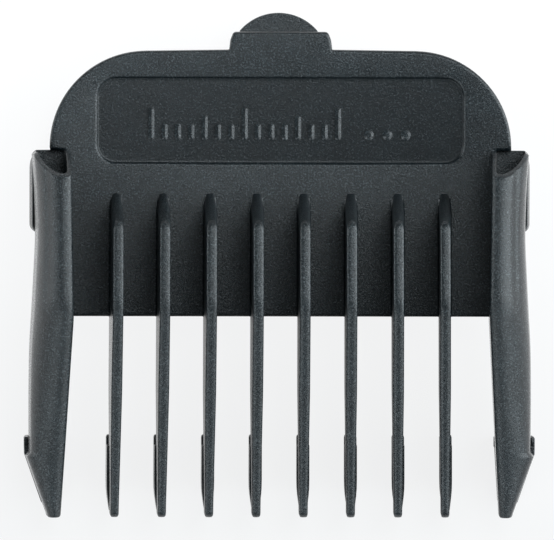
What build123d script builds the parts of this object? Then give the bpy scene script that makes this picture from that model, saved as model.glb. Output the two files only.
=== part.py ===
from build123d import *
import os
from math import radians, tan

# Clip-on guide comb (length guard) for a full-size hair clipper, in millimetres.
# +X runs across the comb, +Y from the tooth tips to the latch, and +Z from the blade side
# to the skin side. The comb lies on its blade side, on z = 0. The moulding is one piece of
# plastic, so its members meet face to face, and only the latch moves, by bending at its root.

# Plate that lies on the clipper's blade
SEAT_Z = 3.6
PLATE_T = 1.6
PLATE_HALF_W = 22.5
PLATE_TOP_Y = 21.1
PLATE_BOTTOM_Y = -4.9
PLATE_CORNER_R = 9.4
PANEL_HALF_W = 17.8
PANEL_TOP_Y = 18.35
PANEL_BOTTOM_Y = 10.1
PANEL_CORNER_R = 1.8
PANEL_DEPTH = 0.35

# Skin-side profile, shared by the teeth and the side rails
CREST_Y = -3.7
CREST_H = 9.9
CREST_R = 5.0
BACK_FALL_DEG = 7.3
TIP_Y = -24.6
TIP_H = 2.7
TIP_R = 1.1

# Teeth
TOOTH_COUNT = 8
TOOTH_PITCH = 4.57
TOOTH_T = 1.17
TOOTH_DRAFT_DEG = 0.45
ROOT_Y = 6.95
RAMP_TOP_Y = 4.6
TOOTH_EDGE_R = 0.25

# Hooks at the tooth tips, which hold the blade's cutting edge
HOOK_T = 1.26
HOOK_POCKET_Y = -17.6
HOOK_LIP_Y = -16.65
HOOK_LIP_H = 1.4
HOOK_END_Y = -23.3

# Side rails: a thin inner wall, a curved outer skin and a floor around a hollow
RAIL_TOP_Y = 11.3
RAIL_CUT_Y = 8.9
RAIL_SKIN_T = 0.6
RAIL_POCKET_DEPTH = 1.2
RAIL_POCKET_END_Y = -14.0
RAIL_INNER_X = [(11.3, 20.6), (-4.9, 20.38), (-17.6, 21.03), (-24.6, 21.4)]
RAIL_OUTER_X = [(11.3, 24.3), (7.0, 24.05), (3.0, 23.9), (-3.3, 24.2), (-8.0, 24.5), (-17.6, 24.5)]
RAIL_STATIONS_Y = [11.3, 7.0, 3.0, -2.2, -5.2, -8.0, -17.6]
WALL_OUT_TOP_X = 21.05
WALL_OUT_END_X = 21.6
SHOE_SHOULDER_X = 24.85
SHOE_TIP_X = 22.6
CORNER_HOOK_X = 24.95
PRONG_T = 0.5

# Ears that clasp the blade's sides
EAR_Y = 7.1
EAR_HALF_L = 4.0
EAR_DROP = 3.5
EAR_CORNER_R = 1.6
EAR_T = 0.95
EAR_OUT_X = 24.43
EAR_EDGE_R = 0.35

# Latch behind the blade's rear edge
BRIDGE_BASE_HALF_W = 4.99
BRIDGE_TOP_HALF_W = 4.85
BRIDGE_TOP_Y = 22.84
BRIDGE_CORNER_R = 0.4
LATCH_BOTTOM_Z = 0.2
WALL_HALF_W = 3.8
WALL_Y = (21.6, 22.8)
WALL_TOP_Z = 2.9
WEB_HALF_W = 3.6
WEB_Y = (21.8, 22.6)
CATCH_HALF_W = 3.4
CATCH_Y = 20.85
CATCH_TOP_Z = 1.2
TAB_R = 5.0
TAB_TIP_Y = 24.6
TAB_T = 1.2

# Raised length marks in the panel: a ruler of ticks and three pips
MARK_H = 0.3
TICK_W = 0.6
TICK_PITCH = 1.3
TICK_COUNT = 15
TICK_START_X = -12.6
MARK_BASE_Y = 12.3
TICK_HEIGHTS = [3.2, 1.6, 1.6, 1.6, 2.4, 1.6, 1.6]
PIP_R = 0.5
PIPS_X = [8.6, 10.4, 12.2]

PLATE_FRONT_Z = SEAT_Z + PLATE_T
CREST_Z = SEAT_Z + CREST_H
TIP_Z = SEAT_Z + TIP_H


def front_z(y):
    """Height of the skin-side edge at y, before the crest is rounded."""
    if y > CREST_Y:
        return CREST_Z - (y - CREST_Y) * tan(radians(BACK_FALL_DEG))
    return CREST_Z - (CREST_Y - y) * (CREST_Z - TIP_Z) / (CREST_Y - TIP_Y)


def x_at(line, y):
    """x on a hand-placed line of (y, x) points that runs from high y to low y."""
    for (y1, x1), (y2, x2) in zip(line, line[1:]):
        if y >= y2:
            return x1 + (x2 - x1) * (y1 - y) / (y1 - y2)
    return line[-1][1]


def wall_out_x(y):
    """x of the plane between a rail's inner wall and its hollow."""
    share = (RAIL_TOP_Y - y) / (RAIL_TOP_Y - HOOK_POCKET_Y)
    return WALL_OUT_TOP_X + share * (WALL_OUT_END_X - WALL_OUT_TOP_X)


def finish(piece, label):
    """Labels a finished piece and writes its STEP file."""
    piece.part.label = label
    export_step(piece.part, f"parts/{label}.step")


def mirrored(piece):
    """The same piece on the other side of the comb."""
    with BuildPart() as other:
        add(mirror(piece.part, about=Plane.YZ, mode=Mode.PRIVATE))
    return other


def make_back_plate():
    """Flat plate with round top corners, narrower between the rails, and a sunk panel."""
    inner_top = x_at(RAIL_INNER_X, RAIL_TOP_Y)
    inner_bottom = x_at(RAIL_INNER_X, PLATE_BOTTOM_Y)
    with BuildPart() as plate:
        with BuildSketch(Plane.XY.offset(SEAT_Z)) as outline:
            with BuildLine():
                Polyline(
                    (-PLATE_HALF_W, RAIL_TOP_Y),
                    (-PLATE_HALF_W, PLATE_TOP_Y),
                    (PLATE_HALF_W, PLATE_TOP_Y),
                    (PLATE_HALF_W, RAIL_TOP_Y),
                    (inner_top, RAIL_TOP_Y),
                    (inner_bottom, PLATE_BOTTOM_Y),
                    (-inner_bottom, PLATE_BOTTOM_Y),
                    (-inner_top, RAIL_TOP_Y),
                    close=True,
                )
            make_face()
            fillet(outline.vertices().group_by(Axis.Y)[-1], PLATE_CORNER_R)
        extrude(amount=PLATE_T)
        with BuildSketch(Plane.XY.offset(PLATE_FRONT_Z)):
            with Locations((0, (PANEL_TOP_Y + PANEL_BOTTOM_Y) / 2)):
                RectangleRounded(2 * PANEL_HALF_W, PANEL_TOP_Y - PANEL_BOTTOM_Y, PANEL_CORNER_R)
        extrude(amount=-PANEL_DEPTH, mode=Mode.SUBTRACT)
    return plate


def make_size_mark():
    """Raised ruler ticks and pips that stand on the panel's floor."""
    with BuildPart() as mark:
        with BuildSketch(Plane.XY.offset(PLATE_FRONT_Z - PANEL_DEPTH)):
            for n in range(TICK_COUNT):
                height = TICK_HEIGHTS[n % len(TICK_HEIGHTS)]
                with Locations((TICK_START_X + n * TICK_PITCH, MARK_BASE_Y + height / 2)):
                    Rectangle(TICK_W, height)
            with Locations([(x, MARK_BASE_Y + PIP_R) for x in PIPS_X]):
                Circle(PIP_R)
        extrude(amount=MARK_H)
    return mark


def make_tooth(x):
    """One tooth: it rises from the plate, crests over the skin and runs down to its tip."""
    half_seat = TOOTH_T / 2
    half_crest = half_seat - CREST_H * tan(radians(TOOTH_DRAFT_DEG))
    with BuildPart() as tooth:
        with BuildSketch(Plane.YZ.offset(x)) as side:
            with BuildLine():
                Polyline(
                    (ROOT_Y, PLATE_FRONT_Z),
                    (RAMP_TOP_Y, front_z(RAMP_TOP_Y)),
                    (CREST_Y, CREST_Z),
                    (TIP_Y, TIP_Z),
                    (TIP_Y + 0.3, SEAT_Z),
                    (PLATE_BOTTOM_Y, SEAT_Z),
                    (PLATE_BOTTOM_Y, PLATE_FRONT_Z),
                    close=True,
                )
            make_face()
            fillet(side.vertices().sort_by(Axis.Y)[-1], CREST_R)
            fillet(side.vertices().sort_by(Axis.X)[0], TIP_R)
        extrude(amount=TOOTH_T, both=True)
        with BuildSketch(Plane.XZ.offset(-ROOT_Y)):
            with BuildLine():
                Polyline(
                    (x - half_seat, SEAT_Z),
                    (x + half_seat, SEAT_Z),
                    (x + half_crest, CREST_Z),
                    (x - half_crest, CREST_Z),
                    close=True,
                )
            make_face()
        extrude(amount=ROOT_Y - TIP_Y, mode=Mode.INTERSECT)
        crest_faces = tooth.faces().filter_by(lambda f: f.normal_at().Z > 0.3)
        crest_edges = crest_faces.edges().filter_by(lambda e: abs((e @ 0.5).X - x) > 0.1)
        fillet(crest_edges, TOOTH_EDGE_R)
    return tooth


def make_tip_hook(x):
    """Block under a tooth's tip, with a lip that points at the plate."""
    with BuildPart() as hook:
        with BuildSketch(Plane.YZ.offset(x)) as side:
            with BuildLine():
                Polyline(
                    (HOOK_POCKET_Y, SEAT_Z),
                    (HOOK_POCKET_Y, HOOK_LIP_H),
                    (HOOK_LIP_Y, HOOK_LIP_H),
                    (HOOK_LIP_Y, 0),
                    (HOOK_END_Y + 0.6, 0),
                    (HOOK_END_Y, 0.8),
                    (TIP_Y + 0.3, SEAT_Z),
                    close=True,
                )
            make_face()
            fillet(side.vertices().group_by(Axis.X)[-1], 0.35)
        extrude(amount=HOOK_T / 2, both=True)
    return hook


def make_end_tooth():
    """Inner wall of the right rail: an outermost tooth, as long as the rail's hollow."""
    inner = [(x, y) for y, x in RAIL_INNER_X[:3]]
    with BuildPart() as wall:
        with BuildSketch(Plane.XY.offset(SEAT_Z)):
            with BuildLine():
                Polyline(
                    *inner,
                    (WALL_OUT_END_X, HOOK_POCKET_Y),
                    (WALL_OUT_TOP_X, RAIL_TOP_Y),
                    close=True,
                )
            make_face()
        extrude(amount=CREST_H)
        with BuildSketch(Plane.YZ) as side:
            with BuildLine():
                Polyline(
                    (RAIL_TOP_Y, SEAT_Z),
                    (RAIL_TOP_Y, PLATE_FRONT_Z),
                    (RAIL_CUT_Y, front_z(RAIL_CUT_Y)),
                    (CREST_Y, CREST_Z),
                    (HOOK_POCKET_Y, front_z(HOOK_POCKET_Y)),
                    (HOOK_POCKET_Y, SEAT_Z),
                    close=True,
                )
            make_face()
            fillet(side.vertices().sort_by(Axis.Y)[-1], CREST_R)
        extrude(amount=PLATE_HALF_W, mode=Mode.INTERSECT)
    return wall


def make_rail_floor():
    """Blade-side floor of the right rail, from its open end to the shoe, sunk under the hollow."""
    outer = [(x, y) for y, x in RAIL_OUTER_X]
    pocket = [(x - RAIL_SKIN_T, y) for x, y in outer if y > RAIL_POCKET_END_Y]
    pocket_end_x = x_at(RAIL_OUTER_X, RAIL_POCKET_END_Y) - RAIL_SKIN_T
    with BuildPart() as floor:
        with BuildSketch(Plane.XY.offset(SEAT_Z)):
            with BuildLine():
                Polyline(
                    (WALL_OUT_TOP_X, RAIL_TOP_Y),
                    *outer,
                    (WALL_OUT_END_X, HOOK_POCKET_Y),
                    close=True,
                )
            make_face()
        extrude(amount=PLATE_T)
        with BuildSketch(Plane.XY.offset(PLATE_FRONT_Z)):
            with BuildLine():
                Polyline(
                    (WALL_OUT_TOP_X, RAIL_TOP_Y),
                    *pocket,
                    (pocket_end_x, RAIL_POCKET_END_Y),
                    (wall_out_x(RAIL_POCKET_END_Y), RAIL_POCKET_END_Y),
                    close=True,
                )
            make_face()
        extrude(amount=-RAIL_POCKET_DEPTH, mode=Mode.SUBTRACT)
    return floor


def skin_section(y):
    """Section of the right rail's skin at y: the band between two quarter ellipses."""
    x_in, x_out = wall_out_x(y), x_at(RAIL_OUTER_X, y)
    width, height = x_out - x_in, front_z(y) - PLATE_FRONT_Z
    centre = (x_in, PLATE_FRONT_Z)
    with BuildSketch(Plane.XZ.offset(-y)) as section:
        with BuildLine():
            outer = EllipticalCenterArc(centre, width, height, arc_size=90)
            inner = EllipticalCenterArc(
                centre, width - RAIL_SKIN_T, height - RAIL_SKIN_T, arc_size=90
            )
            Line(outer @ 0, inner @ 0)
            Line(outer @ 1, inner @ 1)
        make_face()
    return section.sketch


def make_rail_skin():
    """Curved outer skin of the right rail, cut off at a slant at its open end."""
    with BuildPart() as skin:
        loft([skin_section(y) for y in RAIL_STATIONS_Y], ruled=True)
        with BuildSketch(Plane.YZ):
            with BuildLine():
                Polyline(
                    (RAIL_TOP_Y, PLATE_FRONT_Z),
                    (RAIL_CUT_Y, front_z(RAIL_CUT_Y)),
                    (RAIL_CUT_Y, CREST_Z),
                    (RAIL_TOP_Y + 1, CREST_Z),
                    (RAIL_TOP_Y + 1, PLATE_FRONT_Z),
                    close=True,
                )
            make_face()
        extrude(amount=SHOE_SHOULDER_X, mode=Mode.SUBTRACT)
    return skin


def shoe_section(y, x_out):
    """Solid section of the right shoe at y: flat over the wall, then a quarter ellipse."""
    x_in, x_crown, z_top = x_at(RAIL_INNER_X, y), wall_out_x(HOOK_POCKET_Y), front_z(y)
    with BuildSketch(Plane.XZ.offset(-y)) as section:
        with BuildLine():
            crown = EllipticalCenterArc(
                (x_crown, PLATE_FRONT_Z), x_out - x_crown, z_top - PLATE_FRONT_Z, arc_size=90
            )
            Polyline(crown @ 1, (x_in, z_top), (x_in, SEAT_Z), (x_out, SEAT_Z), crown @ 0)
        make_face()
    return section.sketch


def make_shoe():
    """Solid toe of the right rail, which narrows diagonally to its tip."""
    with BuildPart() as shoe:
        loft(
            [shoe_section(HOOK_POCKET_Y, SHOE_SHOULDER_X), shoe_section(TIP_Y, SHOE_TIP_X)],
            ruled=True,
        )
    return shoe


def make_corner_hook():
    """Block under the right shoe: its lip and its side prong wrap the blade's corner."""
    half_pocket_x = x_at(RAIL_INNER_X, HOOK_POCKET_Y)
    with BuildPart() as hook:
        with BuildSketch():
            with BuildLine():
                Polyline(
                    (half_pocket_x, HOOK_POCKET_Y),
                    (x_at(RAIL_INNER_X, HOOK_END_Y), HOOK_END_Y),
                    (SHOE_TIP_X + 0.6, HOOK_END_Y),
                    (CORNER_HOOK_X, HOOK_POCKET_Y - 0.8),
                    (CORNER_HOOK_X, HOOK_POCKET_Y),
                    close=True,
                )
            make_face()
        extrude(amount=SEAT_Z)
        with BuildSketch():
            with Locations((half_pocket_x, HOOK_POCKET_Y)):
                Rectangle(
                    CORNER_HOOK_X - half_pocket_x,
                    HOOK_LIP_Y - HOOK_POCKET_Y,
                    align=(Align.MIN, Align.MIN),
                )
        extrude(amount=HOOK_LIP_H)
        with BuildSketch(Plane.XY.offset(HOOK_LIP_H)):
            with Locations((CORNER_HOOK_X, HOOK_POCKET_Y)):
                Rectangle(PRONG_T, HOOK_LIP_Y - HOOK_POCKET_Y, align=(Align.MAX, Align.MIN))
        extrude(amount=SEAT_Z - HOOK_LIP_H)
    return hook


def make_ear():
    """Round-cornered ear under the right rail's floor, a step out from the rail's side."""
    with BuildPart() as ear:
        with BuildSketch(Plane.YZ.offset(EAR_OUT_X - EAR_T)):
            with Locations((EAR_Y, SEAT_Z)):
                RectangleRounded(2 * EAR_HALF_L, 2 * EAR_DROP, EAR_CORNER_R)
        extrude(amount=EAR_T)
        split(bisect_by=Plane.XY.offset(SEAT_Z), keep=Keep.BOTTOM)
        outer_edges = ear.faces().sort_by(Axis.X)[-1].edges()
        fillet(outer_edges.filter_by(lambda e: (e @ 0.5).Z < SEAT_Z - 0.01), EAR_EDGE_R)
    return ear


def make_latch_bridge():
    """Tongue that carries the plate out over the latch, with pulled-in sides."""
    with BuildPart() as bridge:
        with BuildSketch(Plane.XY.offset(SEAT_Z)) as outline:
            with BuildLine():
                Line((-BRIDGE_BASE_HALF_W, PLATE_TOP_Y), (BRIDGE_BASE_HALF_W, PLATE_TOP_Y))
                Line((BRIDGE_BASE_HALF_W, PLATE_TOP_Y), (BRIDGE_TOP_HALF_W, BRIDGE_TOP_Y))
                Line((BRIDGE_TOP_HALF_W, BRIDGE_TOP_Y), (-BRIDGE_TOP_HALF_W, BRIDGE_TOP_Y))
                Line((-BRIDGE_TOP_HALF_W, BRIDGE_TOP_Y), (-BRIDGE_BASE_HALF_W, PLATE_TOP_Y))
            make_face()
            fillet(outline.vertices().group_by(Axis.Y)[-1], BRIDGE_CORNER_R)
        extrude(amount=PLATE_T)
        chamfer(bridge.edges().filter_by(Axis.X).group_by(Axis.Y)[-1].sort_by(Axis.Z)[-1], 0.15)
    return bridge


def make_latch_box(half_w, y_range, z_range):
    """A plain member of the latch, between two y and two z values."""
    with BuildPart() as member:
        with BuildSketch(Plane.XY.offset(z_range[0])):
            with Locations((0, y_range[0])):
                Rectangle(2 * half_w, y_range[1] - y_range[0], align=(Align.CENTER, Align.MIN))
        extrude(amount=z_range[1] - z_range[0])
    return member


def make_latch_catch():
    """Lip that hooks behind the blade's rear edge, with a slanted lead-in."""
    with BuildPart() as catch:
        with BuildSketch(Plane.YZ):
            with BuildLine():
                Polyline(
                    (WALL_Y[0], LATCH_BOTTOM_Z),
                    (WALL_Y[0], CATCH_TOP_Z),
                    (CATCH_Y, CATCH_TOP_Z),
                    (CATCH_Y, CATCH_TOP_Z - 0.4),
                    (WALL_Y[0] - 0.15, LATCH_BOTTOM_Z),
                    close=True,
                )
            make_face()
        extrude(amount=CATCH_HALF_W, both=True)
    return catch


def make_thumb_tab():
    """Half-round tab behind the latch, which a thumb pushes to free the blade."""
    with BuildPart() as tab:
        with BuildSketch(Plane.XY.offset(LATCH_BOTTOM_Z)):
            with Locations((0, TAB_TIP_Y - TAB_R)):
                Circle(TAB_R)
            with Locations((0, WALL_Y[1])):
                Rectangle(4 * TAB_R, 2 * TAB_R, align=(Align.CENTER, Align.MAX), mode=Mode.SUBTRACT)
        extrude(amount=TAB_T)
        fillet(tab.edges().filter_by(GeomType.CIRCLE), 0.3)
    return tab


os.makedirs("parts", exist_ok=True)

finish(make_back_plate(), "back_plate")
finish(make_size_mark(), "size_mark")

for n in range(TOOTH_COUNT):
    tooth_x = (n - (TOOTH_COUNT - 1) / 2) * TOOTH_PITCH
    finish(make_tooth(tooth_x), f"tooth_{n + 1}")
    finish(make_tip_hook(tooth_x), f"tip_hook_{n + 1}")

side_members = {
    "end_tooth": make_end_tooth,
    "rail_floor": make_rail_floor,
    "rail_skin": make_rail_skin,
    "shoe": make_shoe,
    "corner_hook": make_corner_hook,
    "side_ear": make_ear,
}
for member_name, make_member in side_members.items():
    right_member = make_member()
    finish(right_member, f"right_{member_name}")
    finish(mirrored(right_member), f"left_{member_name}")

finish(make_latch_bridge(), "latch_bridge")
finish(make_latch_box(WEB_HALF_W, WEB_Y, (WALL_TOP_Z, SEAT_Z)), "latch_hinge_web")
finish(make_latch_box(WALL_HALF_W, WALL_Y, (LATCH_BOTTOM_Z, WALL_TOP_Z)), "latch_wall")
finish(make_latch_catch(), "latch_catch")
finish(make_thumb_tab(), "thumb_tab")
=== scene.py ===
from math import atan2, cos, exp, hypot, pi, radians, sin, tan

import bmesh
import bpy
from mathutils import Matrix, Vector


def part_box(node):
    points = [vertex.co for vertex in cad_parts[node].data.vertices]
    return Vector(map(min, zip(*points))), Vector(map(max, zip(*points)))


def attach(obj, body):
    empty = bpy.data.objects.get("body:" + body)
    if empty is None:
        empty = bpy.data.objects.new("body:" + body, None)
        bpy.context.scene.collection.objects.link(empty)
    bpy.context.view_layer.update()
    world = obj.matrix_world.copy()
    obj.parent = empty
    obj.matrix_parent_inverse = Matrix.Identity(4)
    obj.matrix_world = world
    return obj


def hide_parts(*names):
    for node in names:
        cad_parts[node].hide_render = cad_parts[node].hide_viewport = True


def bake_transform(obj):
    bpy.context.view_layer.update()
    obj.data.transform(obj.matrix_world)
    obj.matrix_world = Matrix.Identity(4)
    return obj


# Guide comb for a hair clipper, lying on its blade side. Shapes are worked out in millimetres
# and written in metres. Members overlap a little where the moulding runs on from one to the next.
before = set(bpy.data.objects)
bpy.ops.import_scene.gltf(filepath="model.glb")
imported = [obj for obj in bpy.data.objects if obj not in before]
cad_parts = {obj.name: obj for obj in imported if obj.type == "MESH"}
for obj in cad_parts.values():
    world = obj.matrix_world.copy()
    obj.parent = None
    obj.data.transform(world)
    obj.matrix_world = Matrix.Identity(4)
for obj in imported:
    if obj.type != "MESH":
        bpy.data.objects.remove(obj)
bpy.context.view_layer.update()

MM = 0.001
COMB, LATCH = "comb", "latch"


def corners(node_name):
    """Lowest and highest corner of a CAD node, in millimetres."""
    low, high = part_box(node_name)
    return low / MM, high / MM


# ---------------------------------------------------------------- sizes, from the frame
PLATE_LOW, PLATE_HIGH = corners("back_plate")
_, BRIDGE_HIGH = corners("latch_bridge")
TOOTH_LOW, TOOTH_HIGH = corners("tooth_1")
FLOOR_LOW, FLOOR_HIGH = corners("right_rail_floor")
END_LOW, _ = corners("right_end_tooth")
CORNER_LOW, CORNER_HIGH = corners("right_corner_hook")
EAR_LOW, EAR_HIGH = corners("right_side_ear")

SEAT_Z = PLATE_LOW.z
FRONT_Z = PLATE_HIGH.z
ROOT_Y = TOOTH_HIGH.y
TIP_Y = TOOTH_LOW.y
PLATE_BOTTOM_Y = PLATE_LOW.y
PLATE_TOP_Y = PLATE_HIGH.y
RAIL_TOP_Y = FLOOR_HIGH.y
POCKET_Y = FLOOR_LOW.y

# Skin-side profile, shared by teeth and rails: it is drawn sharp, and CREST_R rounds its crest
# down to the height of the CAD's teeth
CREST_Y = -3.7
CREST_Z = TOOTH_HIGH.z + 0.11
CREST_R = 5.0
BACK_FALL = tan(radians(7.3))
TIP_Z = SEAT_Z + 2.75

SINK = 0.12  # how far a member reaches into the one that it grows from


# ---------------------------------------------------------------- outlines
def share_of(value, start, end):
    """How far value has come from start to end, kept between 0 and 1."""
    return min(max((value - start) / (end - start), 0.0), 1.0)


def quarter(steps):
    """Sine and cosine at each step of a quarter turn."""
    angles = [pi / 2 * n / steps for n in range(steps + 1)]
    return [(sin(a), cos(a)) for a in angles]


def arc(centre, radius, start, end, steps):
    """Points on an arc, angles in degrees."""
    points = []
    for n in range(steps + 1):
        a = radians(start + (end - start) * n / steps)
        points.append((centre[0] + radius * cos(a), centre[1] + radius * sin(a)))
    return points


def rounded(points, radii, steps=8, closed=True):
    """The polygon or line through points, with each corner rounded by its own radius."""
    longest = 0.49  # of a side, for one corner
    out = []
    count = len(points)
    for n, (px, py) in enumerate(points):
        radius = radii[n] if isinstance(radii, (list, tuple)) else radii
        if radius <= 0 or (not closed and n in (0, count - 1)):
            out.append((px, py))
            continue
        ax, ay = points[n - 1]
        bx, by = points[(n + 1) % count]
        before, after = hypot(ax - px, ay - py), hypot(bx - px, by - py)
        ux, uy = (ax - px) / before, (ay - py) / before
        vx, vy = (bx - px) / after, (by - py) / after
        half = atan2(abs(ux * vy - uy * vx), ux * vx + uy * vy) / 2
        reach = min(radius / tan(half), before * longest, after * longest)
        radius = reach * tan(half)
        mx, my = ux + vx, uy + vy
        scale = radius / sin(half) / hypot(mx, my)
        cx, cy = px + mx * scale, py + my * scale
        start = atan2(py + uy * reach - cy, px + ux * reach - cx)
        turn = atan2(py + vy * reach - cy, px + vx * reach - cx) - start
        turn = (turn + pi) % (2 * pi) - pi
        for k in range(steps + 1):
            a = start + turn * k / steps
            out.append((cx + radius * cos(a), cy + radius * sin(a)))
    return out


def inset(outline, amount):
    """A counter-clockwise closed outline moved inwards by amount."""
    sharpest = 0.4  # keeps a sharp corner from moving more than 2.5 times the amount
    out = []
    count = len(outline)
    for n, (x, y) in enumerate(outline):
        ax, ay = outline[n - 1]
        bx, by = outline[(n + 1) % count]
        n1, n2 = (-(y - ay), x - ax), (-(by - y), bx - x)
        l1, l2 = hypot(*n1) or 1, hypot(*n2) or 1
        mx, my = n1[0] / l1 + n2[0] / l2, n1[1] / l1 + n2[1] / l2
        size = hypot(mx, my) or 1
        stretch = amount / max(size / 2, sharpest)
        out.append((x + mx / size * stretch, y + my / size * stretch))
    return out


def front_z(y):
    """Height of the sharp skin-side profile at y."""
    if y > CREST_Y:
        return CREST_Z - (y - CREST_Y) * BACK_FALL
    return CREST_Z - (CREST_Y - y) * (CREST_Z - TIP_Z) / (CREST_Y - TIP_Y)


def crest_z(y):
    """front_z with the crest rounded by an arc of CREST_R."""
    back, fore = atan2(BACK_FALL, 1), atan2(CREST_Z - TIP_Z, CREST_Y - TIP_Y)
    half = (back + fore) / 2
    reach = CREST_R * tan(half)
    high_y, low_y = CREST_Y + reach * cos(back), CREST_Y - reach * cos(fore)
    if y >= high_y or y <= low_y:
        return front_z(y)
    centre_y = high_y - CREST_R * sin(back)
    centre_z = front_z(high_y) - CREST_R * cos(back)
    return centre_z + (CREST_R**2 - (y - centre_y) ** 2) ** 0.5


# ---------------------------------------------------------------- mesh makers
MERGE, SLIVER = 0.002, 0.001  # points this close are one, and edges this short go


def make_object(name, verts, faces):
    """A mesh object from points in millimetres, with its faces turned outwards."""
    mesh = bpy.data.meshes.new(name)
    mesh.from_pydata([Vector(v) * MM for v in verts], [], faces)
    work = bmesh.new()
    work.from_mesh(mesh)
    bmesh.ops.remove_doubles(work, verts=work.verts, dist=MERGE * MM)
    bmesh.ops.dissolve_degenerate(work, edges=work.edges, dist=SLIVER * MM)
    bmesh.ops.recalc_face_normals(work, faces=work.faces)
    work.to_mesh(mesh)
    work.free()
    piece = bpy.data.objects.new(name, mesh)
    bpy.context.scene.collection.objects.link(piece)
    for face in mesh.polygons:
        face.use_smooth = True
    return piece


def band(start, size):
    """Faces between two rings of size points, where the first ring begins at start."""
    faces = []
    for k in range(size):
        a, b = start + k, start + (k + 1) % size
        faces.append((a, b, b + size, a + size))
    return faces


def loft(name, rings):
    """Closed rings of equal length joined in order, with both ends capped."""
    size = len(rings[0])
    last = (len(rings) - 1) * size
    verts = [p for ring in rings for p in ring]
    faces = []
    for start in range(0, last, size):
        faces += band(start, size)
    faces.append(tuple(range(size)))
    faces.append(tuple(range(last, last + size)))
    return make_object(name, verts, faces)


def prism_x(name, outline, x_low, x_high):
    """A (y, z) outline given thickness along X."""
    return loft(name, [[(x, y, z) for y, z in outline] for x in (x_low, x_high)])


def prism_z(name, outline, z_low, z_high):
    """An (x, y) outline given thickness along Z."""
    return loft(name, [[(x, y, z) for x, y in outline] for z in (z_low, z_high)])


def soften(piece, width, segments=3, angle=35):
    """Rounds the sharp edges by width millimetres and keeps flat faces flat in shading."""
    if width:
        bevel = piece.modifiers.new("edges", "BEVEL")
        bevel.width = width * MM
        bevel.segments = segments
        bevel.limit_method = "ANGLE"
        bevel.angle_limit = radians(angle)
        bevel.use_clamp_overlap = True
    normals = piece.modifiers.new("normals", "WEIGHTED_NORMAL")
    normals.keep_sharp = True
    normals.weight = 80
    return piece


def settle(piece, body, *nodes, material=None):
    """Gives a finished piece its material, its body and the CAD nodes that it stands for."""
    piece.data.materials.clear()
    piece.data.materials.append(material or PLASTIC)
    if body:
        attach(piece, body)
    if nodes:
        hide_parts(*nodes)


# ---------------------------------------------------------------- sizes of the back plate
PLATE_CORNER_R = 9.4
PLATE_EDGE_R = 0.28
PLATE_EDGE_FALL = 0.12  # of the latch side's edge, from the bridge out to the corners
UNDER_RAIL = 0.7  # how far the plate runs on below a rail
BRIDGE_TOP_HALF_W = 4.5
PANEL_HALF_W = 17.8
PANEL_Y = (10.1, 18.35)
PANEL_R = 1.8
PANEL_DEPTH = 0.35
PANEL_FLOOR_Z = FRONT_Z - PANEL_DEPTH
FACE_MARGIN = 0.05  # this near to the panel's floor or the plate's front counts as being on it
BOW_X, BOW_Y = 0.0022, 0.004  # tilt of the plate's normals for each millimetre from the bow's centre
BOW_CENTRE_Y = 14
DISH_TILT = Vector((-0.01, -0.02, 0))


# ---------------------------------------------------------------- material
DARK_TONE, PALE_TONE = (0.0030, 0.0055, 0.0072, 1), (0.0056, 0.0094, 0.0118, 1)
SPECK_COLOUR = (0.11, 0.128, 0.136, 1)
NO_SPECK, FULL_SPECK = (0, 0, 0, 1), (0.6, 0.6, 0.6, 1)
TONE_AT, SPECKS_AT = (0.35, 0.65), (0.53, 0.8)  # levels of their noise where they start and end
ROUGHNESS = (0.17, 0.31)  # at the bottom and the top of the grain
DRAWN_Z = (0.1, 0.55)  # Z of the normal on faces drawn along the mould, and on textured ones
GRAIN_DEPTH, FINE_GRAIN_DEPTH = 0.06, 0.02
GLOSS_X = (-17, 5)  # between these the gloss of drawn faces changes
GRAIN_X = (-22, 22)  # and between these the depth of the grain


def node(tree, kind, **values):
    """A shader node with some of its properties and inputs set."""
    made = tree.nodes.new(kind)
    for key, value in values.items():
        if key in made.inputs.keys():
            made.inputs[key].default_value = value
        else:
            setattr(made, key, value)
    return made


def mapped(tree, source, from_low, from_high, to_low, to_high):
    """The source from one range mapped to another, whose ends are numbers or sockets."""
    made = tree.nodes.new("ShaderNodeMapRange")
    tree.links.new(source, made.inputs["Value"])
    ends = {"From Min": from_low, "From Max": from_high, "To Min": to_low, "To Max": to_high}
    for key, value in ends.items():
        if isinstance(value, bpy.types.NodeSocket):
            tree.links.new(value, made.inputs[key])
        else:
            made.inputs[key].default_value = value
    return made.outputs["Result"]


def product(tree, first, second):
    """Two sockets multiplied."""
    made = node(tree, "ShaderNodeMath", operation="MULTIPLY")
    tree.links.new(first, made.inputs[0])
    tree.links.new(second, made.inputs[1])
    return made.outputs["Value"]


def two_tone(tree, source, levels, *colours):
    """A colour that runs from one to another as the source goes between two levels."""
    made = tree.nodes.new("ShaderNodeValToRGB")
    for stop, level, colour in zip(made.color_ramp.elements, levels, colours):
        stop.position = level
        stop.color = colour
    tree.links.new(source, made.inputs["Fac"])
    return made.outputs["Color"]


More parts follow.
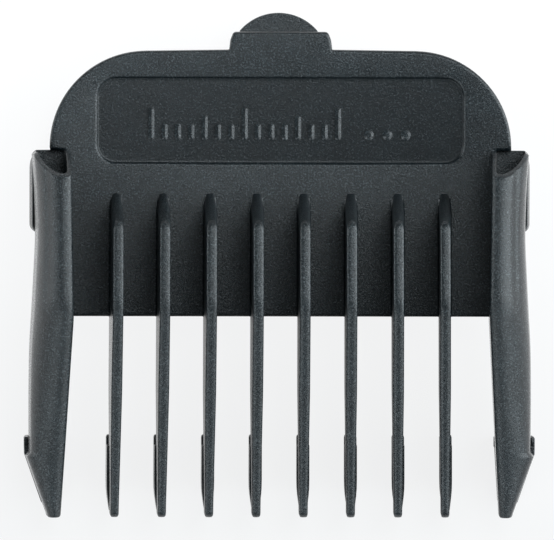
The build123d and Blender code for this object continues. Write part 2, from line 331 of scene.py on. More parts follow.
def make_plastic(name, drawn_left, drawn_right, sunk=1.0, grain_right=1.0, grain_depth=GRAIN_DEPTH):
    """Black moulded plastic: satin, with a fine eroded grain, faint flow marks and pale specks.

    drawn_left and drawn_right scale the roughness of the faces drawn along the mould, sunk scales
    the specks, the grain and the colour below the plate's front, where the darker colour is painted
    shade, and grain_right the grain on the right.
    """
    material = bpy.data.materials.new(name)
    material.use_nodes = True
    tree = material.node_tree
    link = tree.links.new
    shader = tree.nodes["Principled BSDF"]
    shader.inputs["Specular IOR Level"].default_value = 0.5
    where = tree.nodes.new("ShaderNodeTexCoord")
    place = tree.nodes.new("ShaderNodeSeparateXYZ")
    link(where.outputs["Object"], place.inputs["Vector"])

    grain = node(tree, "ShaderNodeTexNoise", Scale=5200.0, Detail=4.0, Roughness=0.7)
    blotch = node(tree, "ShaderNodeTexNoise", Scale=420.0, Detail=2.0, Roughness=0.5)
    specks = node(tree, "ShaderNodeTexNoise", Scale=5600.0, Detail=2.0, Roughness=0.6)
    for texture in (grain, blotch, specks):
        link(where.outputs["Object"], texture.inputs["Vector"])

    # sunk faces get fewer specks, a flatter grain and a darker colour, and that darker colour is
    # painted shade
    floor_z, front_face_z = (PANEL_FLOOR_Z + FACE_MARGIN) * MM, (FRONT_Z - FACE_MARGIN) * MM
    sunk_shade_dust_grain = mapped(tree, place.outputs["Z"], floor_z, front_face_z, sunk, 1.0)
    tone = two_tone(tree, blotch.outputs["Fac"], TONE_AT, DARK_TONE, PALE_TONE)
    dust = two_tone(tree, specks.outputs["Fac"], SPECKS_AT, NO_SPECK, FULL_SPECK)
    mix = node(tree, "ShaderNodeMix", data_type="RGBA")
    mix.inputs["B"].default_value = SPECK_COLOUR
    link(product(tree, dust, sunk_shade_dust_grain), mix.inputs["Factor"])
    link(tone, mix.inputs["A"])
    # scaling the colour down on sunk faces paints shade into the recess and below the plate's front
    colour = node(tree, "ShaderNodeVectorMath", operation="SCALE")
    link(mix.outputs["Result"], colour.inputs[0])
    link(sunk_shade_dust_grain, colour.inputs["Scale"])
    link(colour.outputs["Vector"], shader.inputs["Base Color"])

    # faces drawn along the mould differ in gloss from the textured ones, and from left to right
    left, right = (x * MM for x in GLOSS_X)
    across = mapped(tree, place.outputs["X"], left, right, drawn_left, drawn_right)
    facing = tree.nodes.new("ShaderNodeSeparateXYZ")
    link(where.outputs["Normal"], facing.inputs["Vector"])
    upright = node(tree, "ShaderNodeMath", operation="ABSOLUTE")
    link(facing.outputs["Z"], upright.inputs[0])
    drawn = mapped(tree, upright.outputs["Value"], *DRAWN_Z, across, 1.0)
    gloss = mapped(tree, grain.outputs["Fac"], 0.0, 1.0, *ROUGHNESS)
    link(product(tree, gloss, drawn), shader.inputs["Roughness"])

    # the grain is flatter on the right, and on sunk faces
    left, right = (x * MM for x in GRAIN_X)
    depth = mapped(tree, place.outputs["X"], left, right, 1.0, grain_right)
    bump = node(tree, "ShaderNodeBump", Distance=grain_depth * MM)
    link(product(tree, depth, sunk_shade_dust_grain), bump.inputs["Strength"])
    link(grain.outputs["Fac"], bump.inputs["Height"])
    link(bump.outputs["Normal"], shader.inputs["Normal"])
    return material


# sunk=0.7 paints shade into the colour below the plate's front
PLASTIC = make_plastic("black_moulded_plastic", 0.9, 2.2, sunk=0.7, grain_right=0.7)
RAIL_PLASTIC = make_plastic("black_rail_plastic", 0.6, 0.6)
TAB_PLASTIC = make_plastic("black_tab_plastic", 1.0, 1.0)
MARK_PLASTIC = make_plastic("black_mark_plastic", 1.0, 1.0, grain_depth=FINE_GRAIN_DEPTH)


# ---------------------------------------------------------------- back plate with its bridge
def along_ray(outline, centre, angle):
    """Where a ray from centre leaves a closed outline."""
    dx, dy = cos(angle), sin(angle)
    best = None
    for n, (ax, ay) in enumerate(outline):
        bx, by = outline[(n + 1) % len(outline)]
        ex, ey = bx - ax, by - ay
        det = ex * dy - ey * dx
        if abs(det) < 1e-9:
            continue
        t = (ex * (ay - centre[1]) - ey * (ax - centre[0])) / det
        s = (dx * (ay - centre[1]) - dy * (ax - centre[0])) / det
        if t > 0 and -1e-6 <= s <= 1 + 1e-6 and (best is None or t > best):
            best = t
    return centre[0] + dx * best, centre[1] + dy * best


def plate_outline():
    """Plate and latch bridge as one counter-clockwise outline."""
    under_rail = END_LOW.x + UNDER_RAIL
    half_w, bridge_base, bridge_top = PLATE_HIGH.x, BRIDGE_HIGH.x, BRIDGE_TOP_HALF_W
    edge_y = PLATE_TOP_Y - PLATE_EDGE_FALL
    corner = (half_w - PLATE_CORNER_R, edge_y - PLATE_CORNER_R)
    right = [(0, PLATE_BOTTOM_Y), (under_rail, PLATE_BOTTOM_Y), (under_rail, RAIL_TOP_Y)]
    right.append((half_w, RAIL_TOP_Y))
    right += arc(corner, PLATE_CORNER_R, 0, 88, 24)
    right += rounded(
        [
            (corner[0], edge_y + 0.01),
            (bridge_base + 0.02, PLATE_TOP_Y),
            (bridge_base - 0.08, BRIDGE_HIGH.y - 0.8),
            (bridge_top + 0.1, BRIDGE_HIGH.y),
            (0, BRIDGE_HIGH.y + 0.02),
        ],
        [0, 0.15, 1.5, 0.4, 0],
        steps=6,
        closed=False,
    )
    left = [(-x, y) for x, y in reversed(right[1:-1])]
    return right + left


def panel_outline():
    """The sunk panel's opening, counter-clockwise."""
    half_w = PANEL_HALF_W
    low_y, high_y = PANEL_Y
    return rounded(
        [(-half_w, low_y), (half_w, low_y), (half_w, high_y), (-half_w, high_y)], PANEL_R, steps=10
    )


def bow_normals(plate):
    """Bows the plate and dishes the panel by a hair, which only shows in what they reflect."""
    bowed = []
    for vertex in plate.data.vertices:
        x, y, z = vertex.co / MM
        tilt = Vector((-BOW_X * x, BOW_Y * (y - BOW_CENTRE_Y), 0))
        if z < PANEL_FLOOR_Z + FACE_MARGIN:
            tilt += DISH_TILT
        bowed.append((vertex.normal + tilt * abs(vertex.normal.z)).normalized())
    plate.data.normals_split_custom_set_from_vertices(bowed)


def make_back_plate():
    """Flat plate with round edges and a sunk panel, and the tongue over the latch."""
    outer, panel = plate_outline(), panel_outline()
    centre = (0, (PANEL_Y[0] + PANEL_Y[1]) / 2)
    angles = sorted({round(atan2(y - centre[1], x - centre[0]), 3) for x, y in outer + panel})
    edge_r, land = PLATE_EDGE_R, PLATE_EDGE_R + 0.05

    def ring(outline, push, z):
        shape = inset(outline, push)
        return [(*along_ray(shape, centre, a), z) for a in angles]

    rings = [ring(outer, land, SEAT_Z)]
    for s, c in quarter(4):
        rings.append(ring(outer, edge_r * (1 - s), SEAT_Z + edge_r * (1 - c)))
    for s, c in quarter(4):
        rings.append(ring(outer, edge_r * (1 - c), FRONT_Z - edge_r * (1 - s)))
    rings.append(ring(outer, land, FRONT_Z))
    # the panel: a rounded lip, a drafted wall and a filleted floor
    lip_r, depth = PANEL_DEPTH - 0.01, PANEL_DEPTH
    lip = [(lip_r * (s - 1), lip_r * (1 - c)) for s, c in quarter(6)[:-1]]
    foot = [(0.02, depth - 0.03), (0.05, depth - 0.01), (0.1, depth), (0.3, depth)]
    for push, drop in lip + foot:
        rings.append(ring(panel, push, FRONT_Z - drop))
    plate = loft("back_plate", rings)
    bow_normals(plate)
    settle(plate, COMB, "back_plate", "latch_bridge")


# ---------------------------------------------------------------- teeth
TOOTH_HALF = (TOOTH_HIGH.x - TOOTH_LOW.x) / 2
DRAFT = tan(radians(0.45))
RAMP_TOP_Y = 4.6  # where the ramp up from the plate meets the profile
RAMP_SPAN = (RAMP_TOP_Y - 0.9, RAMP_TOP_Y + 0.4)  # where a tooth's front changes to the ramp's
CROWN, RAMP_CROWN = 0.24, 1.5  # height of the round front, on the profile and on the ramp
CROWN_LIMIT = 0.92  # of the tooth's height
ROUNDNESS = 0.9  # 1 makes the front an ellipse, and less makes it squarer
NOSE_DEPTH = 0.42
NOSE_SPAN = (TIP_Y + 0.5, TIP_Y)
NOSE_WIDTH = 0.45
TIP_TAPER, TIP_TAPER_SPAN = 0.15, (-12.0, -23.0)
ROOT_TAPER, ROOT_TAPER_SPAN = 0.2, (5.2, ROOT_Y)
TEETH_LEAN = 0.0013
TEETH_SPREAD = 0.0003
# (height, flare) of the fillet at a tooth's foot, from below the plate's front upwards
FOOT_FILLET = [(0, 0.12), (SINK, 0.12), (SINK + 0.04, 0.05), (SINK + 0.08, 0.015), (SINK + 0.13, 0)]
HOOK_SPREAD = 1.006


def tooth_profile():
    """(bottom, top, over_plate) stations, in (y, z), that sweep a tooth from its root to its nose."""
    nose_y = TIP_Y + NOSE_DEPTH
    top_line = rounded(
        [
            (ROOT_Y + 0.35, FRONT_Z - 0.4),
            (ROOT_Y + 0.1, FRONT_Z + 0.1),
            (RAMP_TOP_Y, front_z(RAMP_TOP_Y)),
            (CREST_Y, CREST_Z),
            (TIP_Y, TIP_Z),
            (TIP_Y + 0.12, SEAT_Z + 0.9),
            (nose_y, SEAT_Z + 0.05),
        ],
        [0, 0.2, 1.1, CREST_R, 0.9, 1.2, 0],
        steps=9,
        closed=False,
    )
    spacing = 0.7
    dense = []
    for (ay, az), (by, bz) in zip(top_line, top_line[1:]):
        steps = max(1, int(hypot(by - ay, bz - az) / spacing))
        for k in range(steps):
            dense.append((ay + (by - ay) * k / steps, az + (bz - az) * k / steps))
    stations = []
    for y, z in dense + [top_line[-1]]:
        if y > PLATE_BOTTOM_Y:
            bottom_z = min(FRONT_Z - SINK, z - 0.3)
            stations.append(((y, bottom_z), (y, z), True))
        else:
            stations.append(((max(y, nose_y), SEAT_Z), (y, z), False))
    edge_top = (PLATE_BOTTOM_Y, crest_z(PLATE_BOTTOM_Y))
    first_free = next(n for n, station in enumerate(stations) if not station[2])
    stations[first_free:first_free] = [
        ((PLATE_BOTTOM_Y, FRONT_Z - SINK), edge_top, True),
        ((PLATE_BOTTOM_Y, SEAT_Z), edge_top, False),
    ]
    return stations


def tooth_half_width(y, z):
    """Half thickness of a tooth: it narrows towards the skin, for draft, and at both ends."""
    half = TOOTH_HALF - (z - SEAT_Z) * DRAFT - TIP_TAPER * share_of(y, *TIP_TAPER_SPAN)
    return half - ROOT_TAPER * share_of(y, *ROOT_TAPER_SPAN) ** 2


def tooth_x(x, y, z):
    """Middle of the tooth at x on the plate: teeth lean in a little and spread towards the tips."""
    return x * (1 - TEETH_LEAN * (z - FRONT_Z) + TEETH_SPREAD * (ROOT_Y - y))


def tooth_ring(x, bottom, top, over_plate):
    """One closed section of a tooth, between a bottom and a top point in (y, z)."""
    (by, bz), (ty, tz) = bottom, top
    height = hypot(ty - by, tz - bz)
    crown = CROWN + (RAMP_CROWN - CROWN) * share_of(ty, *RAMP_SPAN) ** 2
    crown = min(crown, height * CROWN_LIMIT)
    straight = height - crown
    wall = [(min(up, straight), flare if over_plate else 0) for up, flare in FOOT_FILLET]
    wall += [(max(straight * 0.5, wall[-1][0]), 0), (straight, 0)]
    half_section = []
    for up, flare in wall:
        y, z = by + (ty - by) * up / height, bz + (tz - bz) * up / height
        half_section.append((up, tooth_half_width(y, z) + flare))
    half_w = half_section[-1][1]
    for s, c in quarter(8)[1:]:
        half_section.append((straight + crown * s**ROUNDNESS, half_w * c**ROUNDNESS))
    ring = []
    for sign, order in ((1, half_section), (-1, reversed(half_section))):
        for up, width in order:
            y, z = by + (ty - by) * up / height, bz + (tz - bz) * up / height
            nose = share_of(y, *NOSE_SPAN)
            width *= NOSE_WIDTH + (1 - NOSE_WIDTH) * (1 - nose**2) ** 0.5
            ring.append((tooth_x(x, y, z) + sign * width, y, z))
    return ring


def make_tooth(number):
    """Tooth with its ramp up from the plate, its crest and its nose."""
    node_name = f"tooth_{number}"
    low, high = corners(node_name)
    x = (low.x + high.x) / 2
    rings = [tooth_ring(x, *station) for station in tooth_profile()]
    settle(soften(loft(node_name, rings), 0), COMB, node_name)


def make_tip_hook(number):
    """Block under a tooth's tip with a lip that holds the blade's edge."""
    node_name = f"tip_hook_{number}"
    low, high = corners(node_name)
    x, half_w = (low.x + high.x) / 2, (high.x - low.x) / 2 - 0.02
    lip_y, under = high.y, SEAT_Z + SINK
    rings = []
    for y, z_low, z_high, width in (
        (lip_y, 0.3, 1.1, 0.75),
        (lip_y - 0.08, 0.1, 1.3, 0.92),
        (lip_y - 0.25, 0.0, 1.4, 1.0),
        (POCKET_Y + 0.12, 0.0, 1.4, 1.0),
        (POCKET_Y + 0.02, 0.0, 1.5, 1.0),
        (POCKET_Y, 0.0, under, 1.0),
        (POCKET_Y - 0.3, 0.0, under, 1.0),
        (TIP_Y + 3.6, 0.0, under, 1.0),
        (TIP_Y + 2.7, 0.05, under, 0.97),
        (TIP_Y + 2.0, 0.35, under, 0.88),
        (TIP_Y + 1.4, 0.95, under, 0.76),
        (TIP_Y + 0.9, 2.0, under, 0.66),
        (TIP_Y + 0.6, 3.2, under, 0.6),
    ):
        w = half_w * width
        section = [(-w, z_low), (w, z_low), (w, z_high), (-w, z_high)]
        section = rounded(section, min(0.12, (z_high - z_low) * 0.3), steps=3)
        rings.append([(tooth_x(x * HOOK_SPREAD, y, z) + across, y, z) for across, z in section])
    settle(soften(loft(node_name, rings), 0), COMB, node_name)


# ---------------------------------------------------------------- side rails
WALL_T = 0.4
SKIN_T = 0.38
CUT_Y = 8.9  # where the open end meets the crown
CUT_CORNER_R = 0.7
RAIL_EDGE_R = 0.55
CROWN_X = 0.9  # the skin's highest line, from the inner wall's face
SKIN_DEPTH = 0.4  # of the rail's height, taken by the skin's curve
SKIN_POWER, TOE_POWER = 1.8, 2.4  # of its superellipse, on the rail and at the shoe
GROOVE_DEPTH = 0.2
GROOVE_AT, GROOVE_W = 0.6, 0.1  # of the skin's width
GROOVE_SPAN = (-4.5, -1.5)
FOOT_R, HOLLOW_FOOT_R = 0.35, 0.15
HOLLOW_EDGE_R = 0.4
HOLLOW_END_Y = -13.5
HOLLOW_FLOOR_Z = FRONT_Z - 1.3
SHOE_END_Y = TIP_Y + 0.35
INNER_LINE = [(RAIL_TOP_Y, 20.6), (PLATE_BOTTOM_Y, 20.38), (POCKET_Y, 21.03), (TIP_Y, 21.4)]
OUTER_LINE = [
    (RAIL_TOP_Y, 24.3),
    (9.0, 24.08),
    (7.0, 24.0),
    (3.0, 23.88),
    (-3.3, 24.2),
    (-8.0, 24.48),
    (-13.0, 24.53),
    (POCKET_Y - 0.45, 24.5),
    (POCKET_Y - 0.9, 24.85),
    (SHOE_END_Y, 22.82),
    (TIP_Y, 22.7),
]


def on_line(line, y):
    """x at y on a line of (y, x) points that runs from high y to low y."""
    if y >= line[0][0]:
        return line[0][1]
    for (y1, x1), (y2, x2) in zip(line, line[1:]):
        if y >= y2:
            return x1 + (x2 - x1) * (y1 - y) / (y1 - y2)
    return line[-1][1]


def smooth_outer(y):
    """Outer edge of the rail at y: gentle above the shoe, crisp at the shoe's shoulder."""
    if y < POCKET_Y + 1.5:
        return on_line(OUTER_LINE, y)
    nearby = (-1.5, -0.75, 0, 0.75, 1.5)
    return sum(on_line(OUTER_LINE, y + d) for d in nearby) / len(nearby)


def skin_points(crown_x, side_x, z_top, depth, power=SKIN_POWER, groove=0.0):
    """Outer skin from its crown to the side wall: a superellipse with a shallow groove."""
    points = []
    for s, c in quarter(24):
        across, drop = s ** (2 / power), c ** (2 / power)
        sag = groove * exp(-(((across - GROOVE_AT) / GROOVE_W) ** 2))
        points.append((crown_x + (side_x - crown_x) * across, z_top - depth + depth * drop - sag))
    return points


def closed_section(x_in, low, edge_r, skin, wall_middle, x_out, foot_r):
    """Closed (x, z) section, from its inner bottom corner up, over the skin and down to its foot."""
    crown_x, top = skin[0]
    points = [(x_in, low + 0.01)]
    points += [(x_in, low + (top - edge_r - low) * share) for share in (0.35, 0.7)]
    for s, c in quarter(7)[:-1]:
        points.append((crown_x - (crown_x - x_in) * c, top - edge_r + edge_r * s))
    points += skin + [wall_middle, (x_out, low + foot_r)]
    points += arc((x_out - foot_r, low + foot_r + 0.01), foot_r, 0, -90, 4)[1:]
    return points


def rail_section(y, z_top):
    """Closed (x, z) section of the right rail at y."""
    x_in, x_out = on_line(INNER_LINE, y), smooth_outer(y)
    crown_x = x_in + min(CROWN_X, (x_out - x_in) * 0.45)
    edge_r = min(RAIL_EDGE_R, (z_top - SEAT_Z) * 0.3)
    depth = (z_top - SEAT_Z) * SKIN_DEPTH
    toe = share_of(y, POCKET_Y + 3.5, POCKET_Y - 1.0)
    power = SKIN_POWER + (TOE_POWER - SKIN_POWER) * toe
    groove = GROOVE_DEPTH * share_of(y, *GROOVE_SPAN)
    skin = skin_points(crown_x, x_out - 0.1, z_top, depth, power, groove)
    wall_middle = (x_out - 0.03, (z_top - depth + SEAT_Z) / 2)
    return closed_section(x_in, SEAT_Z, edge_r, skin, wall_middle, x_out, FOOT_R)


def hollow_section(y, z_top):
    """Closed (x, z) section of the hollow, with the same order of points as rail_section."""
    x_in, x_out = on_line(INNER_LINE, y) + WALL_T, smooth_outer(y) - SKIN_T
    skin = skin_points(x_in + 0.4, x_out, z_top - 0.5, (z_top - SEAT_Z) * SKIN_DEPTH)
    low = HOLLOW_FLOOR_Z
    wall_middle = (x_out, (FRONT_Z + low) / 2)
    return closed_section(x_in, low, HOLLOW_EDGE_R, skin, wall_middle, x_out, HOLLOW_FOOT_R)


def cut_y(z):
    """y of the rail's open end, which slopes back over the height of the skin's curve."""
    top = front_z(CUT_Y)
    start = top - (top - SEAT_Z) * SKIN_DEPTH
    return RAIL_TOP_Y - (RAIL_TOP_Y - CUT_Y) * share_of(z, start, top)


def slanted(section):
    """A ring of the section function that follows the slanted cut."""
    ring = []
    count = len(section(CUT_Y, crest_z(CUT_Y)))
    for n in range(count):
        y = CUT_Y
        for _ in range(4):
            x, z = section(y, crest_z(y))[n]
            y = cut_y(z)
        past = min(max(x - on_line(OUTER_LINE, y) + CUT_CORNER_R, 0.0), CUT_CORNER_R)
        ring.append((x, y - CUT_CORNER_R + (CUT_CORNER_R**2 - past**2) ** 0.5, z))
    return ring


def steps_down(start, end, step):
    """Values from start downwards that stay above end."""
    values = []
    while start > end:
        values.append(start)
        start -= step
    return values


def rail_stations():
    """y of each section of a rail, close together where the shoe's shoulder steps out."""
    shoulder = (0.4, 0.1, -0.2, -0.4, -0.45, -0.55, -0.75, -0.88, -0.95, -1.1)
    stations = steps_down(CUT_Y - 0.5, POCKET_Y + 0.5, 0.55)
    stations += [POCKET_Y + d for d in shoulder]
    stations += steps_down(POCKET_Y - 1.6, TIP_Y + 0.6, 0.6)
    return stations + [SHOE_END_Y]


def nose_ring(s, c):
    """A ring that rounds off the shoe's tip, at a sine and cosine of its quarter turn."""
    y = TIP_Y + (SHOE_END_Y - TIP_Y) * (1 - s)
    shrink = 0.3 * (1 - c)
    section = rail_section(SHOE_END_Y, crest_z(SHOE_END_Y))
    mid_x = (min(p[0] for p in section) + max(p[0] for p in section)) / 2
    mid_z = SEAT_Z + 1.2
    width = max(p[0] for p in section) - mid_x
    height = max(p[1] for p in section) - mid_z
    return [
        (mid_x + (x - mid_x) * (1 - shrink / width), y, mid_z + (z - mid_z) * (1 - shrink / height))
        for x, z in section
    ]


def make_rail(side):
    """Hollow rail with its inner wall, curved skin, floor and pointed shoe, as one skin of mesh."""
    sign = 1 if side == "right" else -1
    outside = [slanted(rail_section)]
    for y in rail_stations():
        outside.append([(x, y, z) for x, z in rail_section(y, crest_z(y))])
    outside += [nose_ring(s, c) for s, c in quarter(4)[1:]]
    inside = [slanted(hollow_section)]
    for y in steps_down(CUT_Y - 0.5, HOLLOW_END_Y, 1.1):
        inside.append([(x, y, z) for x, z in hollow_section(y, crest_z(y))])
    rings = [
        [(sign * x * (1 - TEETH_LEAN * max(z - FRONT_Z, 0)), y, z) for x, y, z in ring]
        for ring in inside[::-1] + outside
    ]
    piece = soften(loft(f"{side}_rail", rings), 0.08, angle=50)
    members = [f"{side}_{member}" for member in ("end_tooth", "rail_floor", "rail_skin", "shoe")]
    settle(piece, COMB, *members, material=RAIL_PLASTIC)


def make_corner_hook(side):
    """Block under the shoe whose lip and side prong wrap the blade's corner."""
    sign = 1 if side == "right" else -1
    node_name = f"{side}_corner_hook"
    inner, outer = CORNER_LOW.x, CORNER_HIGH.x
    root_y, lip_y = POCKET_Y - 0.3, CORNER_HIGH.y - 0.1
    lip_z, prong_w, point_x = 1.4, 0.45, 23.2
    block = [
        (inner + 0.05, POCKET_Y),
        (inner + 0.4, CORNER_LOW.y),
        (point_x, CORNER_LOW.y),
        (outer - 0.02, POCKET_Y - 0.8),
        (outer, POCKET_Y),
    ]
    lip = [(inner, root_y), (outer, root_y), (outer, lip_y), (inner, lip_y)]
    prong = [(outer - prong_w, root_y), (outer, root_y)]
    prong += [(outer, lip_y), (outer - prong_w + 0.05, lip_y)]
    for name, nodes, outline, radii, z_low, z_high in (
        (node_name, [node_name], block, [0, 0.3, 0.4, 0.3, 0], 0, SEAT_Z + SINK),
        (node_name + "_lip", [], lip, [0, 0, 0.25, 0.2], 0, lip_z),
        (node_name + "_prong", [], prong, [0, 0, 0.15, 0.1], lip_z - 0.2, SEAT_Z - 0.1),
    ):
        shape = [(sign * x, y) for x, y in rounded(outline, radii, steps=4)]
        settle(soften(prism_z(name, shape, z_low, z_high), 0.12), COMB, *nodes)


def make_ear(side):
    """Round-cornered ear that hangs beside the blade, a step out from the rail."""
    sign = 1 if side == "right" else -1
    inner_x, outer_x = EAR_LOW.x, EAR_HIGH.x
    drop_r, low_corner_r, high_corner_r = 1.5, 0.9, 1.6
    # (z, cut from both ends, cut from the outer face): a round drop, a drafted face, a shoulder
    levels = [(EAR_LOW.z + drop_r * (1 - c), drop_r * (1 - s), 0) for s, c in quarter(8)]
    levels += [(1.7, 0, 0), (3.0, 0, 0.22), (3.1, 0.02, 0.25), (3.18, 0.1, 0.3)]
    levels += [(3.2, 0.2, 0.34), (2.9, 0.3, 0.37), (2.9, 0.4, 0.6), (SEAT_Z + SINK, 0.4, 0.6)]
    rings = []
    for z, shorter, thinner in levels:
        low, high = EAR_LOW.y + shorter, EAR_HIGH.y - shorter
        across = outer_x - thinner - inner_x
        low_r, high_r = min(low_corner_r, (high - low) * 0.3), min(high_corner_r, (high - low) * 0.5)
        ring = [(inner_x + across * s, high - high_r * (1 - c)) for s, c in quarter(8)]
        ring += [(inner_x + across * c, low + low_r * (1 - s)) for s, c in quarter(8)]
        rings.append([(sign * x, y, z) for x, y in ring])
    node_name = f"{side}_side_ear"
    ear = soften(loft(node_name, rings), 0.05, segments=2)
    settle(ear, COMB, node_name, material=RAIL_PLASTIC)


# ---------------------------------------------------------------- latch
WEB_LOW, WEB_HIGH = corners("latch_hinge_web")
LATCH_WALL_LOW, LATCH_WALL_HIGH = corners("latch_wall")
CATCH_LOW, CATCH_HIGH = corners("latch_catch")
TAB_LOW, TAB_HIGH = corners("thumb_tab")
HINGE_Y = 22.2
TAB_R = 5.0
TAB_X = -0.12
TAB_HALF_ANGLE = 49.6
TAB_SLOPE = 0.1


def make_latch_arm():
    """Hinge web and the wall below it, as one arm."""
    rings = []
    # (z, share of the way from the web's section to the wall's)
    for z, share in (
        (WEB_HIGH.z + SINK, 0.0),
        (WEB_HIGH.z, 0.0),
        (WEB_HIGH.z - 0.12, 0.0),
        (WEB_HIGH.z - 0.25, 0.0),
        (WEB_HIGH.z - 0.4, 0.05),
        (WEB_HIGH.z - 0.55, 0.25),
        (WEB_LOW.z, 0.75),
        (WEB_LOW.z - 0.2, 1.0),
        (1.5, 1.0),
        (LATCH_WALL_LOW.z, 1.0),
    ):
        half_w = WEB_HIGH.x + (LATCH_WALL_HIGH.x - WEB_HIGH.x) * share
        y_low = WEB_LOW.y + (LATCH_WALL_LOW.y - WEB_LOW.y) * share
        y_high = WEB_HIGH.y + (LATCH_WALL_HIGH.y - WEB_HIGH.y) * share
        outline = rounded(
            [(-half_w, y_low), (half_w, y_low), (half_w, y_high), (-half_w, y_high)], 0.25, steps=4
        )
        rings.append([(x, y, z) for x, y in outline])
    arm = soften(loft("latch_arm", rings), 0.1, segments=2, angle=60)
    settle(arm, None, "latch_hinge_web", "latch_wall")
    start, end = (0, HINGE_Y * MM, WEB_HIGH.z * MM), (0, HINGE_Y * MM, WEB_LOW.z * MM)
    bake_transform(arm)
    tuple(start)
    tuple(end)


def make_latch_catch():
    """Lip along the wall's foot that snaps under the blade's rear edge."""
    root_y = LATCH_WALL_LOW.y + SINK
    lip = rounded(
        [
            (root_y, LATCH_WALL_LOW.z),
            (root_y, CATCH_HIGH.z),
            (CATCH_LOW.y, CATCH_HIGH.z),
            (CATCH_LOW.y, CATCH_HIGH.z - 0.4),
            (LATCH_WALL_LOW.y - 0.15, CATCH_LOW.z),
        ],
        [0, 0, 0.12, 0.15, 0.1],
        steps=4,
    )
    catch = prism_x("latch_catch", lip, CATCH_LOW.x, CATCH_HIGH.x)
    settle(soften(catch, 0.1), LATCH, "latch_catch")


def make_thumb_tab():
    """Round tab whose top slopes away from the wall."""
    root_y = LATCH_WALL_HIGH.y
    centre = (TAB_X, TAB_HIGH.y - TAB_R)
    outline = arc(centre, TAB_R, 90 - TAB_HALF_ANGLE, 90 + TAB_HALF_ANGLE, 32)
    outline += [(outline[-1][0], root_y - SINK), (outline[0][0], root_y - SINK)]
    tab = prism_z("thumb_tab", outline, TAB_LOW.z, TAB_HIGH.z)
    for vertex in tab.data.vertices:
        if vertex.co.z / MM > TAB_HIGH.z - 0.1:
            vertex.co.z -= (vertex.co.y - root_y * MM) * TAB_SLOPE
    settle(soften(tab, 0.28, segments=4), LATCH, "thumb_tab", material=TAB_PLASTIC)


# ---------------------------------------------------------------- length marks
MARK_LOW, MARK_HIGH = corners("size_mark")
TICK_W, TICK_PITCH, TICK_COUNT, TICK_R = 0.6, 1.3, 15, 0.25
TICK_HEIGHTS = [3.2, 1.6, 1.6, 1.6, 2.4, 1.6, 1.6]  # in turn, from the left
PIP_R, PIP_PITCH, PIP_COUNT = 0.5, 1.8, 3
CHAMFER_W, CHAMFER_DROP = 0.27, 0.115


def mark_outlines():
    """The ruler's ticks, and the pips beside it."""
    outlines = []
    half = TICK_W / 2
    for n in range(TICK_COUNT):
        x = MARK_LOW.x + half + n * TICK_PITCH
        low, top = MARK_LOW.y, MARK_LOW.y + TICK_HEIGHTS[n % len(TICK_HEIGHTS)]
        box = [(x - half, low), (x + half, low), (x + half, top), (x - half, top)]
        outlines.append(rounded(box, TICK_R, steps=4))
    for n in range(PIP_COUNT):
        centre = (MARK_HIGH.x - PIP_R - PIP_PITCH * n, MARK_LOW.y + PIP_R)
        outlines.append(arc(centre, PIP_R, 0, 348, 29))
    return outlines


def make_size_mark():
    """Raised ruler ticks and pips in the panel, with chamfered tops."""
    base_z, top_z = MARK_LOW.z - 0.02, MARK_HIGH.z
    verts, faces = [], []
    for outline in mark_outlines():
        start, size = len(verts), len(outline)
        inner = inset(outline, CHAMFER_W)
        for ring, z in ((outline, base_z), (outline, top_z - CHAMFER_DROP), (inner, top_z)):
            verts.extend((x, y, z) for x, y in ring)
        top = start + 2 * size
        faces += band(start, size) + band(start + size, size)
        faces += [tuple(range(start, start + size)), tuple(range(top, top + size))]
    mark = make_object("size_mark", verts, faces)
    for face in mark.data.polygons:
        face.use_smooth = False
    settle(mark, COMB, "size_mark", material=MARK_PLASTIC)


# ---------------------------------------------------------------- the object
make_back_plate()
make_size_mark()
for tooth_number in range(1, 9):
    make_tooth(tooth_number)
    make_tip_hook(tooth_number)
for rail_side in ("left", "right"):
    make_rail(rail_side)
    make_corner_hook(rail_side)
    make_ear(rail_side)
make_latch_arm()
make_latch_catch()
make_thumb_tab()


# ---------------------------------------------------------------- stage
STAGE_DISTANCE = 1.5  # of the camera and of each softbox, in metres
LIGHT_COLOUR = (0.88, 0.965, 1.0)
WORLD_COLOUR, WORLD_STRENGTH = (0.86, 0.955, 1.0, 1), 0.24
FLOOR_HALF = 4.0
FLOOR_COLOUR = (0.08, 0.08, 0.08, 1)
FLOOR_GLOW = (0.99, 0.995, 1.0, 1)
GLOW_Y, GLOW_STRENGTH = (-0.03, 0.03), (0.82, 0.955)
CAMERA_LEFT, CAMERA_ABOVE, CAMERA_ROLL = radians(1.3), radians(2.5), radians(0.15)
CAMERA_AIM = Vector((-0.32, -0.35, FRONT_Z)) * MM
VIEW_WIDTH = 0.054  # what the picture's width spans at the plate's front, in metres


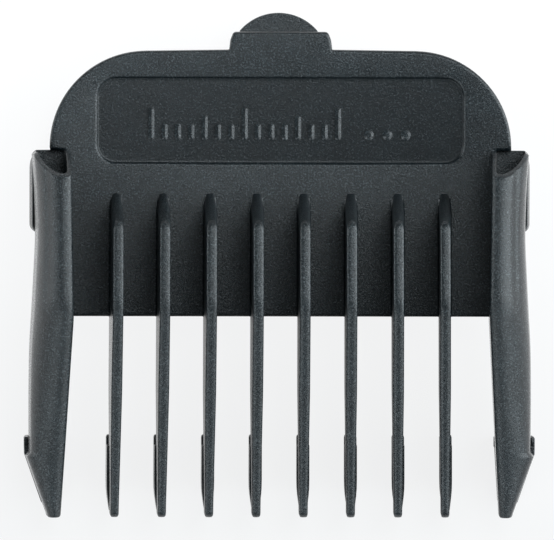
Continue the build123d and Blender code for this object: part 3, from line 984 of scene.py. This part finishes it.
def make_floor():
    """Pale floor that glows a little brighter behind the comb."""
    mesh = bpy.data.meshes.new("floor")
    work = bmesh.new()
    bmesh.ops.create_grid(work, x_segments=8, y_segments=8, size=FLOOR_HALF)
    work.to_mesh(mesh)
    work.free()
    floor = bpy.data.objects.new("floor", mesh)
    bpy.context.scene.collection.objects.link(floor)
    material = bpy.data.materials.new("pale_floor")
    material.use_nodes = True
    tree = material.node_tree
    shader = tree.nodes["Principled BSDF"]
    shader.inputs["Base Color"].default_value = FLOOR_COLOUR
    shader.inputs["Roughness"].default_value = 0.8
    shader.inputs["Specular IOR Level"].default_value = 0.1
    shader.inputs["Emission Color"].default_value = FLOOR_GLOW
    where = tree.nodes.new("ShaderNodeTexCoord")
    place = tree.nodes.new("ShaderNodeSeparateXYZ")
    tree.links.new(where.outputs["Object"], place.inputs["Vector"])
    glow = mapped(tree, place.outputs["Y"], *GLOW_Y, *GLOW_STRENGTH)
    tree.links.new(glow, shader.inputs["Emission Strength"])
    mesh.materials.append(material)


def add_softbox(name, direction, size, radiance):
    """Square softbox that faces the comb from a direction, with a set brightness."""
    light = bpy.data.lights.new(name, "AREA")
    light.shape = "SQUARE"
    light.size = size
    light.energy = radiance * pi * size**2
    light.color = LIGHT_COLOUR
    lamp = bpy.data.objects.new(name, light)
    bpy.context.scene.collection.objects.link(lamp)
    towards = Vector(direction).normalized()
    lamp.location = towards * STAGE_DISTANCE
    lamp.rotation_mode = "QUATERNION"
    lamp.rotation_quaternion = towards.to_track_quat("Z", "Y")
    lamp.visible_camera = False


def set_world():
    """Dim sky from every side."""
    world = bpy.data.worlds.new("studio")
    bpy.context.scene.world = world
    world.use_nodes = True
    background = world.node_tree.nodes["Background"]
    background.inputs["Color"].default_value = WORLD_COLOUR
    background.inputs["Strength"].default_value = WORLD_STRENGTH


def set_camera():
    """Long lens almost straight above the comb, a little to its left and towards its latch."""
    scene = bpy.context.scene
    data = bpy.data.cameras.new("camera")
    camera = bpy.data.objects.new("camera", data)
    scene.collection.objects.link(camera)
    data.sensor_width = 36.0
    data.lens = data.sensor_width * STAGE_DISTANCE / VIEW_WIDTH
    data.clip_start, data.clip_end = 0.05, 10.0
    back = Vector((-tan(CAMERA_LEFT), tan(CAMERA_ABOVE), 1)).normalized()
    right = Vector((0, 1, 0)).cross(back).normalized()
    up = back.cross(right)
    roll = Matrix.Rotation(CAMERA_ROLL, 4, "Z")
    camera.matrix_world = Matrix((right, up, back)).transposed().to_4x4() @ roll
    camera.location = CAMERA_AIM + back * STAGE_DISTANCE
    scene.camera = camera


make_floor()
add_softbox("right", (0.93, 0.22, 0.4), 1.3, 5.6)
add_softbox("left", (-0.97, 0.2, 0.26), 0.6, 6.4)
add_softbox("back", (0.24, 0.4, 1.0), 0.7, 6.0)
add_softbox("front_left", (-0.75, -0.75, 0.75), 0.8, 3.8)
add_softbox("front_right", (0.75, -0.75, 0.75), 0.8, 4.1)
set_world()
set_camera()
bpy.context.scene.view_settings.view_transform = "Standard"
